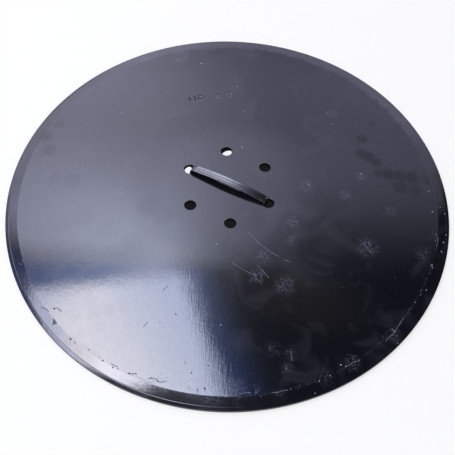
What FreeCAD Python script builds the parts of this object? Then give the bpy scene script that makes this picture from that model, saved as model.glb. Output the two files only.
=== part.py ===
# Coulter disc: a round steel blade with a bevelled edge and six bolt holes, threaded by a flat plastic tie.
# Millimetres. +Z is the disc's axis and points out of its raised side. The origin is the centre of the
# circle on which the rim rests, and +X points at the first bolt hole, through which the tie passes.
import FreeCAD, Part
import math
import os
import Sketcher

SIZES = [
    ("disc_diameter", 410, "outer diameter of the blade"),
    ("plate_thickness", 4, "thickness of the plate inside the bevel"),
    ("dish_depth", 8, "height of the flat centre's underside above the rim's lower edge"),
    ("seat_diameter", 108, "flat centre that the hub bolts against"),
    ("blend_radius", 700, "underside radius between the flat centre and the sloping skirt"),
    ("bevel_width", 11, "sharpened band, measured in from the rim"),
    ("rim_facet_width", 3.2, "steeper outer part of that band"),
    ("rim_facet_rise", 0.45, "height gained across the steeper part"),
    ("rim_land", 3.4, "upright edge left at the rim"),
    ("pitch_circle", 82, "circle through the centres of the bolt holes"),
    ("hole_pairs", 3, "pairs of opposite bolt holes on that circle"),
    ("hole_diameter", 10.5, "clearance for M10"),
    ("hole_edge_break", 0.4, "small chamfer at both ends of each hole"),
    ("tie_width", 7.2, "width of the flat strap"),
    ("tie_thickness", 1.7, "thickness of the flat strap"),
    ("tie_gap", 0.2, "strap's clearance under the plate"),
    ("tie_side_gap", 0.3, "strap corners' clearance inside the hole"),
    ("tie_corner_radius", 0.7, "inside radius where the strap turns under the plate"),
    ("tie_near_shoulder", 3.65, "inside radius where the arch leaves the first leg"),
    ("tie_far_shoulder", 2.6, "inside radius where the arch meets the second leg"),
    ("tie_rise_angle", 5, "slope of the arch's straight part, in degrees"),
    ("tie_crown_radius", 200, "radius of the arch's long curve, at mid thickness"),
    ("head_length", 10.4, "lock head, along the strap"),
    ("head_width", 11.4, "lock head, across the strap"),
    ("head_height", 5.8, "lock head, down from the strap's upper face"),
    ("head_bevel", 1.6, "sloping lower edges of the lock head"),
    ("slot_margin", 0.8, "room around the tail in the head's recess"),
    ("slot_depth", 1.2, "depth of that recess"),
    ("tail_stub", 0.9, "cut end of the strap, past the head"),
]

doc = FreeCAD.newDocument("coulter_disc")
sheet = doc.addObject("Spreadsheet::Sheet", "sizes")
for row, (alias, value, note) in enumerate(SIZES, start=1):
    sheet.set(f"A{row}", note)
    sheet.set(f"B{row}", str(value))
    sheet.setAlias(f"B{row}", alias)
doc.recompute()

START, END, CENTRE = range(1, 4)
ROOT = (-1, 1)
X_AXIS, Y_AXIS = (-1, -2)
SAME_SIZE = 1e-6


def size_of(alias):
    """The value of one driving size."""
    return float(sheet.get(alias))


def new_body(label):
    """An empty body with the name of its sub-part."""
    body = doc.addObject("PartDesign::Body", label)
    body.Label = label
    return body


def new_sketch(body, name, role):
    """A sketch on one of the body's own origin planes."""
    sketch = body.newObject("Sketcher::SketchObject", name)
    plane = next(item for item in body.Origin.OriginFeatures if item.Role == role)
    sketch.AttachmentSupport = [(plane, "")]
    sketch.MapMode = "FlatFace"
    return sketch


def constrain(sketch, *arguments):
    """Add one geometric constraint."""
    return sketch.addConstraint(Sketcher.Constraint(*arguments))


def drive(sketch, name, expression, *arguments):
    """Add one dimension and bind it to the sheet."""
    index = constrain(sketch, *arguments)
    sketch.renameConstraint(index, name)
    sketch.setExpression(f"Constraints.{name}", expression)


def point(x, y):
    """A point in a sketch's plane."""
    return FreeCAD.Vector(x, y, 0)


def arc(centre, radius, start, end):
    """An anticlockwise arc between two angles in radians."""
    circle = Part.Circle(centre, FreeCAD.Vector(0, 0, 1), radius)
    return Part.ArcOfCircle(circle, start, end)


def straight_run(sketch, points, closed=True):
    """Join points by straight lines, end to end, and return the lines' numbers."""
    ends = points[1:] + points[:1] if closed else points[1:]
    lines = [sketch.addGeometry(Part.LineSegment(a, b)) for a, b in zip(points, ends)]
    for first, second in zip(lines, lines[1:] + lines[:1] if closed else lines[1:]):
        constrain(sketch, "Coincident", first, END, second, START)
    return lines


def centred_box(sketch, width, height, width_size, height_size):
    """A rectangle about the sketch's origin, bound to two sizes."""
    x = width / 2
    y = height / 2
    corners = [point(-x, -y), point(x, -y), point(x, y), point(-x, y)]
    bottom, right, top, left = straight_run(sketch, corners)
    constrain(sketch, "Horizontal", bottom)
    constrain(sketch, "Horizontal", top)
    constrain(sketch, "Vertical", left)
    constrain(sketch, "Vertical", right)
    constrain(sketch, "Symmetric", bottom, START, top, START, *ROOT)
    drive(sketch, "width", width_size, "DistanceX", bottom, START, bottom, END, width)
    drive(sketch, "height", height_size, "DistanceY", right, START, right, END, height)


def skirt_angle():
    """Slope of the skirt, from the rim's lower edge up to where it meets the blend."""
    across = size_of("disc_diameter") / 2 - size_of("seat_diameter") / 2
    up = size_of("blend_radius") - size_of("dish_depth")
    return math.atan2(across, up) - math.acos(size_of("blend_radius") / math.hypot(across, up))


def disc_profile(body):
    """Half section of the blade: flat seat, blend, sloping skirt, two-step bevel and rim land."""
    rim = size_of("disc_diameter") / 2
    seat = size_of("seat_diameter") / 2
    depth = size_of("dish_depth")
    thick = size_of("plate_thickness")
    land = size_of("rim_land")
    radius = size_of("blend_radius")
    slope = skirt_angle()
    hub = point(seat, depth - radius)
    lean = point(math.sin(slope), math.cos(slope))
    low_bend = hub + lean * radius
    high_bend = hub + lean * (radius + thick)
    bevel_in = rim - size_of("bevel_width")
    bevel_top = high_bend.y - (bevel_in - high_bend.x) * math.tan(slope)
    facet_in = rim - size_of("rim_facet_width")
    facet_top = land + size_of("rim_facet_rise")
    sketch = new_sketch(body, "disc_profile", "XZ_Plane")
    seat_low = sketch.addGeometry(Part.LineSegment(point(0, depth), point(seat, depth)))
    blend_low = sketch.addGeometry(arc(hub, radius, math.pi / 2 - slope, math.pi / 2))
    skirt_low = sketch.addGeometry(Part.LineSegment(low_bend, point(rim, 0)))
    rim_edge = sketch.addGeometry(Part.LineSegment(point(rim, 0), point(rim, land)))
    facet = sketch.addGeometry(Part.LineSegment(point(rim, land), point(facet_in, facet_top)))
    bevel = sketch.addGeometry(Part.LineSegment(point(facet_in, facet_top), point(bevel_in, bevel_top)))
    skirt_top = sketch.addGeometry(Part.LineSegment(point(bevel_in, bevel_top), high_bend))
    blend_top = sketch.addGeometry(arc(hub, radius + thick, math.pi / 2 - slope, math.pi / 2))
    seat_top = sketch.addGeometry(Part.LineSegment(point(seat, depth + thick), point(0, depth + thick)))
    axis = sketch.addGeometry(Part.LineSegment(point(0, depth + thick), point(0, depth)))
    constrain(sketch, "Tangent", seat_low, END, blend_low, END)
    constrain(sketch, "Tangent", blend_low, START, skirt_low, START)
    constrain(sketch, "Coincident", skirt_low, END, rim_edge, START)
    constrain(sketch, "Coincident", rim_edge, END, facet, START)
    constrain(sketch, "Coincident", facet, END, bevel, START)
    constrain(sketch, "Coincident", bevel, END, skirt_top, START)
    constrain(sketch, "Tangent", skirt_top, END, blend_top, START)
    constrain(sketch, "Tangent", blend_top, END, seat_top, START)
    constrain(sketch, "Coincident", seat_top, END, axis, START)
    constrain(sketch, "Coincident", axis, END, seat_low, START)
    constrain(sketch, "Coincident", blend_low, CENTRE, blend_top, CENTRE)
    constrain(sketch, "Horizontal", seat_low)
    constrain(sketch, "Horizontal", seat_top)
    constrain(sketch, "Vertical", rim_edge)
    constrain(sketch, "PointOnObject", axis, START, Y_AXIS)
    constrain(sketch, "PointOnObject", axis, END, Y_AXIS)
    constrain(sketch, "PointOnObject", rim_edge, START, X_AXIS)
    drive(sketch, "rim_radius", "sizes.disc_diameter / 2", "DistanceX", *ROOT, rim_edge, START, rim)
    drive(sketch, "seat_radius", "sizes.seat_diameter / 2", "DistanceX", *ROOT, seat_low, END, seat)
    drive(sketch, "depth", "sizes.dish_depth", "DistanceY", *ROOT, axis, END, depth)
    drive(sketch, "thickness", "sizes.plate_thickness", "DistanceY", axis, END, axis, START, thick)
    drive(sketch, "blend", "sizes.blend_radius", "Radius", blend_low, radius)
    drive(sketch, "land", "sizes.rim_land", "DistanceY", rim_edge, START, rim_edge, END, land)
    facet_width = rim - facet_in
    facet_rise = facet_top - land
    bevel_span = rim - bevel_in
    drive(sketch, "facet_width", "sizes.rim_facet_width", "DistanceX", facet, END, facet, START, facet_width)
    drive(sketch, "facet_rise", "sizes.rim_facet_rise", "DistanceY", facet, START, facet, END, facet_rise)
    drive(sketch, "bevel_span", "sizes.bevel_width", "DistanceX", bevel, END, rim_edge, START, bevel_span)
    return sketch


def build_disc():
    """The blade: one pressed and ground plate with its bolt holes."""
    body = new_body("disc")
    profile = disc_profile(body)
    plate = body.newObject("PartDesign::Revolution", "dished_plate")
    plate.Profile = profile
    plate.ReferenceAxis = (profile, ["V_Axis"])
    plate.Angle = 360
    doc.recompute()
    before = body.Shape.Volume
    centre = size_of("pitch_circle") / 2
    mark = new_sketch(body, "hole_circle", "XY_Plane")
    radius = size_of("hole_diameter") / 2
    ring = mark.addGeometry(Part.Circle(point(centre, 0), FreeCAD.Vector(0, 0, 1), radius))
    constrain(mark, "PointOnObject", ring, CENTRE, X_AXIS)
    drive(mark, "pitch_radius", "sizes.pitch_circle / 2", "DistanceX", *ROOT, ring, CENTRE, centre)
    drive(mark, "hole_radius", "sizes.hole_diameter / 2", "Radius", ring, radius)
    hole = body.newObject("PartDesign::Pocket", "bolt_hole")
    hole.Profile = mark
    hole.Type = "ThroughAll"
    hole.Midplane = True
    doc.recompute()
    holes = body.newObject("PartDesign::PolarPattern", "bolt_holes")
    holes.Originals = [hole]
    holes.Axis = (profile, ["V_Axis"])
    holes.Angle = 360
    holes.setExpression("Occurrences", "2 * sizes.hole_pairs")
    body.Tip = holes
    doc.recompute()
    bore = math.pi * radius ** 2 * size_of("plate_thickness")
    cut = before - body.Shape.Volume
    if abs(cut - bore * 2 * size_of("hole_pairs")) > bore / 2:
        raise RuntimeError("the bolt holes are not all cut")
    body.Tip = break_edges(body, holes)
    return body


def break_edges(body, holes):
    """Chamfer both ends of every bolt hole."""
    radius = size_of("hole_diameter") / 2
    names = []
    for number, edge in enumerate(holes.Shape.Edges, start=1):
        if isinstance(edge.Curve, Part.Circle) and abs(edge.Curve.Radius - radius) < SAME_SIZE:
            names.append(f"Edge{number}")
    chamfer = body.newObject("PartDesign::Chamfer", "hole_edges")
    chamfer.Base = (holes, names)
    chamfer.setExpression("Size", "sizes.hole_edge_break")
    return chamfer


HOLE_CHORD = "sqrt((sizes.hole_diameter / 2 - sizes.tie_side_gap)^2 - (sizes.tie_width / 2)^2)"
LEG_X = f"sizes.pitch_circle / 2 - {HOLE_CHORD} + sizes.tie_thickness / 2"
RUN_Z = "sizes.dish_depth - sizes.tie_gap - sizes.tie_thickness / 2"
SEAT_Z = "sizes.dish_depth + sizes.plate_thickness"


def tie_path(body):
    """Closed line at the strap's mid thickness: under the plate, up a leg, over the arch and down again."""
    half = size_of("tie_thickness") / 2
    room = size_of("hole_diameter") / 2 - size_of("tie_side_gap")
    reach = math.sqrt(room ** 2 - (size_of("tie_width") / 2) ** 2)
    leg = size_of("pitch_circle") / 2 - reach + half
    run = size_of("dish_depth") - size_of("tie_gap") - half
    seat = size_of("dish_depth") + size_of("plate_thickness")
    corner = size_of("tie_corner_radius") + half
    near = size_of("tie_near_shoulder") + half
    far = size_of("tie_far_shoulder") + half
    crown = size_of("tie_crown_radius")
    rise = math.radians(size_of("tie_rise_angle"))
    quarter = math.pi / 2
    near_hub = point(near - leg, seat)
    far_hub = point(leg - far, seat)
    near_end = near_hub + point(-math.sin(rise), math.cos(rise)) * near
    line_end, crown_hub, fall = crown_curve(near_end, far_hub, far, crown, rise)
    sketch = new_sketch(body, "tie_path", "XZ_Plane")
    run_in = sketch.addGeometry(Part.LineSegment(point(0, run), point(corner - leg, run)))
    turn_in = sketch.addGeometry(arc(point(corner - leg, run + corner), corner, 2 * quarter, 3 * quarter))
    leg_in = sketch.addGeometry(Part.LineSegment(point(-leg, run + corner), point(-leg, seat)))
    shoulder_in = sketch.addGeometry(arc(near_hub, near, quarter + rise, 2 * quarter))
    slope = sketch.addGeometry(Part.LineSegment(near_end, line_end))
    arch = sketch.addGeometry(arc(crown_hub, crown, quarter - fall, quarter + rise))
    shoulder_out = sketch.addGeometry(arc(far_hub, far, 0, quarter - fall))
    leg_out = sketch.addGeometry(Part.LineSegment(point(leg, seat), point(leg, run + corner)))
    turn_out = sketch.addGeometry(arc(point(leg - corner, run + corner), corner, 3 * quarter, 4 * quarter))
    run_out = sketch.addGeometry(Part.LineSegment(point(leg - corner, run), point(0, run)))
    constrain(sketch, "Coincident", run_out, END, run_in, START)
    constrain(sketch, "Tangent", run_in, END, turn_in, END)
    constrain(sketch, "Tangent", turn_in, START, leg_in, START)
    constrain(sketch, "Tangent", leg_in, END, shoulder_in, END)
    constrain(sketch, "Tangent", shoulder_in, START, slope, START)
    constrain(sketch, "Tangent", slope, END, arch, END)
    constrain(sketch, "Tangent", arch, START, shoulder_out, END)
    constrain(sketch, "Tangent", shoulder_out, START, leg_out, START)
    constrain(sketch, "Tangent", leg_out, END, turn_out, END)
    constrain(sketch, "Tangent", turn_out, START, run_out, START)
    constrain(sketch, "PointOnObject", run_in, START, Y_AXIS)
    constrain(sketch, "Horizontal", run_in)
    constrain(sketch, "Horizontal", run_out)
    constrain(sketch, "Vertical", leg_in)
    constrain(sketch, "Vertical", leg_out)
    constrain(sketch, "Equal", turn_in, turn_out)
    drive(sketch, "leg_in_x", LEG_X, "DistanceX", leg_in, END, *ROOT, leg)
    drive(sketch, "leg_out_x", LEG_X, "DistanceX", *ROOT, leg_out, START, leg)
    drive(sketch, "run_z", RUN_Z, "DistanceY", *ROOT, run_in, START, run)
    drive(sketch, "near_z", SEAT_Z, "DistanceY", *ROOT, leg_in, END, seat)
    drive(sketch, "far_z", SEAT_Z, "DistanceY", *ROOT, leg_out, START, seat)
    drive(sketch, "corner", "sizes.tie_corner_radius + sizes.tie_thickness / 2", "Radius", turn_in, corner)
    drive(sketch, "near", "sizes.tie_near_shoulder + sizes.tie_thickness / 2", "Radius", shoulder_in, near)
    drive(sketch, "far", "sizes.tie_far_shoulder + sizes.tie_thickness / 2", "Radius", shoulder_out, far)
    drive(sketch, "crown", "sizes.tie_crown_radius", "Radius", arch, crown)
    drive(sketch, "rise", "sizes.tie_rise_angle * 1deg", "Angle", slope, rise)
    return sketch


def crown_curve(near_end, far_hub, far, crown, rise):
    """Where the straight part ends, the arch's centre, and how far the arch has turned down at its end."""
    along = point(math.cos(rise), math.sin(rise))
    down = point(math.sin(rise), -math.cos(rise))
    base = near_end + down * crown - far_hub
    middle = base.dot(along)
    length = -middle - math.sqrt(middle ** 2 - base.dot(base) + (crown - far) ** 2)
    hub = near_end + along * length + down * crown
    lean = far_hub - hub
    return near_end + along * length, hub, math.atan2(lean.x, lean.y)


def tie_section(body):
    """The strap's cross-section, on the plane that its lower run crosses."""
    sketch = new_sketch(body, "tie_section", "YZ_Plane")
    sketch.setExpression("AttachmentOffset.Base.y", RUN_Z)
    centred_box(sketch, size_of("tie_width"), size_of("tie_thickness"),
                "sizes.tie_width", "sizes.tie_thickness")
    return sketch


def head_profile(body):
    """Side view of the lock head: flat against the plate's side, with sloping lower edges."""
    reach = size_of("head_length") / 2
    top = size_of("dish_depth") - size_of("tie_gap")
    low = top - size_of("head_height")
    slant = size_of("head_bevel")
    sketch = new_sketch(body, "head_profile", "XZ_Plane")
    outline = [point(-reach, top), point(-reach, low + slant), point(slant - reach, low),
               point(reach - slant, low), point(reach, low + slant), point(reach, top)]
    left, left_slant, base, right_slant, right, upper = straight_run(sketch, outline)
    constrain(sketch, "Vertical", left)
    constrain(sketch, "Vertical", right)
    constrain(sketch, "Symmetric", upper, START, upper, END, Y_AXIS)
    constrain(sketch, "Symmetric", base, START, base, END, Y_AXIS)
    drive(sketch, "length", "sizes.head_length", "DistanceX", left, START, right, END, 2 * reach)
    drive(sketch, "upper_z", "sizes.dish_depth - sizes.tie_gap", "DistanceY", *ROOT, left, START, top)
    drive(sketch, "height", "sizes.head_height", "DistanceY", base, START, left, START, top - low)
    drive(sketch, "slant_x", "sizes.head_bevel", "DistanceX", left_slant, START, left_slant, END, slant)
    drive(sketch, "slant_z", "sizes.head_bevel", "DistanceY", left_slant, END, left_slant, START, slant)
    return sketch


def build_tie():
    """The tie: a strap loop through two opposite holes, with its lock head out of sight under the plate."""
    body = new_body("cable_tie")
    path = tie_path(body)
    section = tie_section(body)
    strap = body.newObject("PartDesign::AdditivePipe", "strap")
    strap.Profile = section
    strap.Spine = (path, [f"Edge{number}" for number in range(1, len(path.Geometry) + 1)])
    strap.Transition = "Transformed"
    doc.recompute()
    head = body.newObject("PartDesign::Pad", "lock_head")
    head.Profile = head_profile(body)
    head.Midplane = True
    head.setExpression("Length", "sizes.head_width")
    doc.recompute()
    before = body.Shape.Volume
    head_base = "sizes.dish_depth - sizes.tie_gap - sizes.head_height"
    recess = new_sketch(body, "recess_outline", "XY_Plane")
    recess.setExpression("AttachmentOffset.Base.z", head_base)
    centred_box(recess, size_of("tie_thickness") + 2 * size_of("slot_margin"),
                size_of("tie_width") + 2 * size_of("slot_margin"),
                "sizes.tie_thickness + 2 * sizes.slot_margin", "sizes.tie_width + 2 * sizes.slot_margin")
    slot = body.newObject("PartDesign::Pocket", "tail_recess")
    slot.Profile = recess
    slot.Reversed = True
    slot.setExpression("Length", "sizes.slot_depth")
    doc.recompute()
    if body.Shape.Volume >= before:
        raise RuntimeError("the recess in the lock head is not cut")
    outline = new_sketch(body, "tail_outline", "XY_Plane")
    outline.setExpression("AttachmentOffset.Base.z", f"{head_base} - sizes.tail_stub")
    centred_box(outline, size_of("tie_thickness"), size_of("tie_width"),
                "sizes.tie_thickness", "sizes.tie_width")
    tail = body.newObject("PartDesign::Pad", "cut_tail")
    tail.Profile = outline
    tail.setExpression("Length", "sizes.tail_stub + sizes.slot_depth")
    return body


def check_document(bodies):
    """Stop when any object failed or any sub-part is not one sound solid."""
    for item in doc.Objects:
        if "Invalid" in item.State or "Error" in item.State:
            raise RuntimeError(f"{item.Label} failed: {item.State}")
    for body in bodies:
        if body.Shape.isNull() or not body.Shape.isValid() or len(body.Shape.Solids) != 1:
            raise RuntimeError(f"{body.Label} is not one valid solid")


def write_parts(bodies):
    """Write one STEP file for each sub-part, named after it."""
    os.makedirs("parts", exist_ok=True)
    for body in bodies:
        body.Shape.exportStep(f"parts/{body.Label}.step")
        print(body.Label, round(body.Shape.Volume, 1), body.Shape.BoundBox)


bodies = [build_disc(), build_tie()]
for part in bodies:
    part.Placement = FreeCAD.Placement()
doc.recompute()
check_document(bodies)
write_parts(bodies)
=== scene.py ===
import logging
import math
from collections.abc import Callable, Sequence
from dataclasses import dataclass
from enum import Enum
from functools import partial
from typing import Any

import bmesh
import bpy
from mathutils import Matrix, Vector
from mathutils.geometry import tessellate_polygon


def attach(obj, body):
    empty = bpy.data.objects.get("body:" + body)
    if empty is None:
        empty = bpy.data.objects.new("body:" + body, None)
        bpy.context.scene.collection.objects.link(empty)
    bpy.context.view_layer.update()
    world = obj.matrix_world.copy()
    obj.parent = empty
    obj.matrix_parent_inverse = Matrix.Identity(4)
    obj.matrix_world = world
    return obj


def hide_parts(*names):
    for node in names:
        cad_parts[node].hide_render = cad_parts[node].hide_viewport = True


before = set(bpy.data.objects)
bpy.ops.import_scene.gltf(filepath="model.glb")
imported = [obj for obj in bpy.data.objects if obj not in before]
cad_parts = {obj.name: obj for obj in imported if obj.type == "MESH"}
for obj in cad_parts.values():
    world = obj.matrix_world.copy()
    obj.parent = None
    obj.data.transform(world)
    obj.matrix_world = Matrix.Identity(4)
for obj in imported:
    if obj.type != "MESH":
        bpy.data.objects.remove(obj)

LOG = logging.getLogger("coulter_disc")
MM = 0.001
FRAME_PIXELS = 455
QUARTER = math.pi / 2

Piece = bpy.types.Object
Material = bpy.types.Material
Node = bpy.types.Node
Socket = bpy.types.NodeSocket
Adder = Callable[..., Node]
Spot = tuple[float, float]
Triple = tuple[float, float, float]
Colour = tuple[float, float, float, float]
Ring = tuple[float, float, bool]

# The node types and the option that most trees share.
MATH, VECTOR, RANGE = "ShaderNodeMath", "ShaderNodeVectorMath", "ShaderNodeMapRange"
NOISE, BUMP, MIX = "ShaderNodeTexNoise", "ShaderNodeBump", "ShaderNodeMix"
RANDOM = "FunctionNodeRandomValue"
SMOOTH = {"interpolation_type": "SMOOTHSTEP"}


class Slot(Enum):
    """The record's material slots."""

    PAINT = "black_paint"
    NYLON = "black_nylon"


def hex_colour(text: str) -> Colour:
    """Turn an sRGB hex colour into linear values.

    Args:
        text: Six hex digits after a hash.

    Returns:
        Red, green, blue and an alpha of 1.
    """
    parts = [int(text[place:place + 2], 16) / 255 for place in (1, 3, 5)]
    linear = [part / 12.92 if part <= 0.04045 else ((part + 0.055) / 1.055) ** 2.4 for part in parts]
    return linear[0], linear[1], linear[2], 1.0


def around(count: int) -> list[Spot]:
    """The cosine and the sine of each of so many equal steps round a circle."""
    angles = [2 * math.pi * step / count for step in range(count)]
    return [(math.cos(angle), math.sin(angle)) for angle in angles]


def add_node(tree: bpy.types.NodeTree, kind: str, inputs: dict[str | int, Any] | None = None,
             **settings: Any) -> Node:
    """Add a node, set its options and feed its inputs.

    Args:
        tree: The tree that gets the node.
        kind: The node's type name.
        inputs: For each input a value, a socket, or a node, whose first live output feeds it.
        settings: Options to set on the node.

    Returns:
        The new node.
    """
    node = tree.nodes.new(kind)
    for name, value in settings.items():
        setattr(node, name, value)
    for name, value in (inputs or {}).items():
        if isinstance(value, Node):
            value = next(socket for socket in value.outputs if socket.enabled)
        if isinstance(value, Socket):
            tree.links.new(value, node.inputs[name])
        else:
            node.inputs[name].default_value = value
    return node


def new_material(name: str) -> tuple[Material, Adder]:
    """Make an empty node material.

    Args:
        name: The material's name.

    Returns:
        The material, and add_node for its tree.
    """
    material = bpy.data.materials.new(name)
    material.use_nodes = True
    material.node_tree.nodes.clear()
    return material, partial(add_node, material.node_tree)


def new_piece(name: str, points: Sequence[Sequence[float]], faces: Sequence[Sequence[int]],
              edges: Sequence[Sequence[int]] = ()) -> Piece:
    """Make a mesh object at the origin and put it in the scene.

    Args:
        name: The piece's name.
        points: Its vertices, in metres.
        faces: Its faces, as vertex numbers.
        edges: Loose edges, as vertex numbers.

    Returns:
        The new object.
    """
    mesh = bpy.data.meshes.new(name)
    mesh.from_pydata(points, edges, faces)
    mesh.update()
    piece = bpy.data.objects.new(name, mesh)
    bpy.context.scene.collection.objects.link(piece)
    return piece


def face_outwards(piece: Piece, smooth: bool = True) -> None:
    """Merge doubles, point every face outwards and set the shading.

    Args:
        piece: The object whose mesh is cleaned.
        smooth: Whether its faces are shaded smooth.
    """
    work = bmesh.new()
    work.from_mesh(piece.data)
    bmesh.ops.remove_doubles(work, verts=work.verts, dist=0.0001 * MM)
    bmesh.ops.recalc_face_normals(work, faces=work.faces)
    for face in work.faces:
        face.smooth = smooth
    work.to_mesh(piece.data)
    work.free()


def place(piece: Piece, slot: Slot, material: Material | None = None) -> Piece:
    """Give a finished piece its material and its body, and report it.

    Args:
        piece: The finished piece.
        slot: The record's slot that it takes its finish from; not used.
        material: Its material, unless its mesh already has one.

    Returns:
        The same piece.
    """
    if material is not None:
        piece.data.materials.clear()
        piece.data.materials.append(material)
    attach(piece, "root")
    LOG.info("%s: %d faces", piece.name, len(piece.data.polygons))
    return piece


class Growth:
    """A geometry node tree: a mesh and named sizes go in, one plain dressed mesh comes out."""

    KINDS = {float: "NodeSocketFloat", int: "NodeSocketInt", tuple: "NodeSocketVector",
             Material: "NodeSocketMaterial"}

    def __init__(self, name: str, **sizes: Any) -> None:
        """Start the tree with its named inputs.

        Args:
            name: The tree's name.
            sizes: The value of each named input.
        """
        self.sizes = sizes
        self.tree = bpy.data.node_groups.new(name, "GeometryNodeTree")
        self.tree.interface.new_socket("Geometry", in_out="INPUT", socket_type="NodeSocketGeometry")
        for label, value in sizes.items():
            self.tree.interface.new_socket(label, in_out="INPUT", socket_type=self.KINDS[type(value)])
        self.tree.interface.new_socket("Geometry", in_out="OUTPUT", socket_type="NodeSocketGeometry")
        self.add = partial(add_node, self.tree)
        self.given = self.add("NodeGroupInput").outputs

    def run(self, piece: Piece, grown: Node) -> None:
        """End the tree, run it on a piece and keep the result as a plain mesh.

        Args:
            piece: The object whose mesh feeds the tree.
            grown: The node that gives the grown geometry.
        """
        real = self.add("GeometryNodeRealizeInstances", {0: grown})
        dressed = self.add("GeometryNodeSetMaterial", {0: real, "Material": self.given["Material"]})
        self.add("NodeGroupOutput", {0: dressed})
        modifier = piece.modifiers.new("growth", "NODES")
        modifier.node_group = self.tree
        for item in self.tree.interface.items_tree:
            if item.in_out == "INPUT" and item.name in self.sizes:
                modifier[item.identifier] = self.sizes[item.name]
        graph = bpy.context.evaluated_depsgraph_get()
        mesh = bpy.data.meshes.new_from_object(piece.evaluated_get(graph))
        piece.modifiers.remove(modifier)
        piece.data = mesh
        mesh.name = piece.name


@dataclass(frozen=True)
class Mark:
    """A worn place on the blade, in millimetres from its axis."""

    x: float
    y: float
    reach: float
    strength: float = 1.0


# Where the paint is scuffed through its gloss into short pale scratches.
SCUFFS = tuple(Mark(*row) for row in (
    (64, -71, 9), (89, -68, 11), (76, -26, 8, 0.7), (69, -8, 9, 0.9), (62, -52, 10, 0.8), (138, 1, 13, 0.8),
    (64, 35, 9, 0.9), (51, 132, 8, 0.5), (104, -122, 9, 0.5), (119, -120, 8, 0.5), (186, -64, 10),
    (37, -187, 13, 0.7), (150, -123, 12, 0.4), (60, -178, 12, 0.6), (165, -102, 10, 0.8), (-130, 133, 15),
    (184, 20, 12, 0.5), (80, -176, 13, 0.7), (-62, 176, 16, 0.55), (120, -131, 8, 0.5), (124, -152, 9, 0.4),
    (95, -163, 11, 0.6), (107, -156, 7, 0.5), (143, 48, 8, 0.6), (100, 43, 9, 0.6), (104, 71, 7, 0.6)))

# Where a greasy film takes the shine off the gloss.
SMUDGES = tuple(Mark(*row) for row in (
    (89, 116, 8, 0.75), (95, 98, 8, 0.8), (103, 97, 9, 0.9), (112, 95, 8, 0.85), (119, 84, 8, 0.8),
    (127, 87, 10, 0.9), (137, 91, 10, 0.9), (148, 95, 11, 0.9), (159, 98, 10, 0.8), (142, 79, 11, 0.7),
    (155, 83, 10, 0.6), (90, 142, 6, 0.5), (-189, -28, 11, 0.5), (-177, -41, 11, 0.4), (-188, -8, 10, 0.35),
    (-51, -174, 9, 0.14), (-49, -157, 9, 0.12), (-39, -163, 10, 0.18), (-30, -156, 9, 0.15),
    (-38, -180, 10, 0.12), (-29, -170, 9, 0.15), (-23, -147, 9, 0.12), (-147, 132, 14, 0.15),
    (-100, 161, 16, 0.2), (-56, 183, 16, 0.25), (-22, -196, 11, 0.3), (-32, -195, 11, 0.35),
    (-42, -193, 11, 0.3), (-99, -91, 15, 0.12), (-73, -90, 16, 0.12), (-47, -91, 14, 0.12),
    (-113, -107, 12, 0.1), (-52, -53, 16, 0.2), (-36, -56, 14, 0.2), (-134, -62, 12, 0.2),
    (-150, -66, 10, 0.2)))


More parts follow.
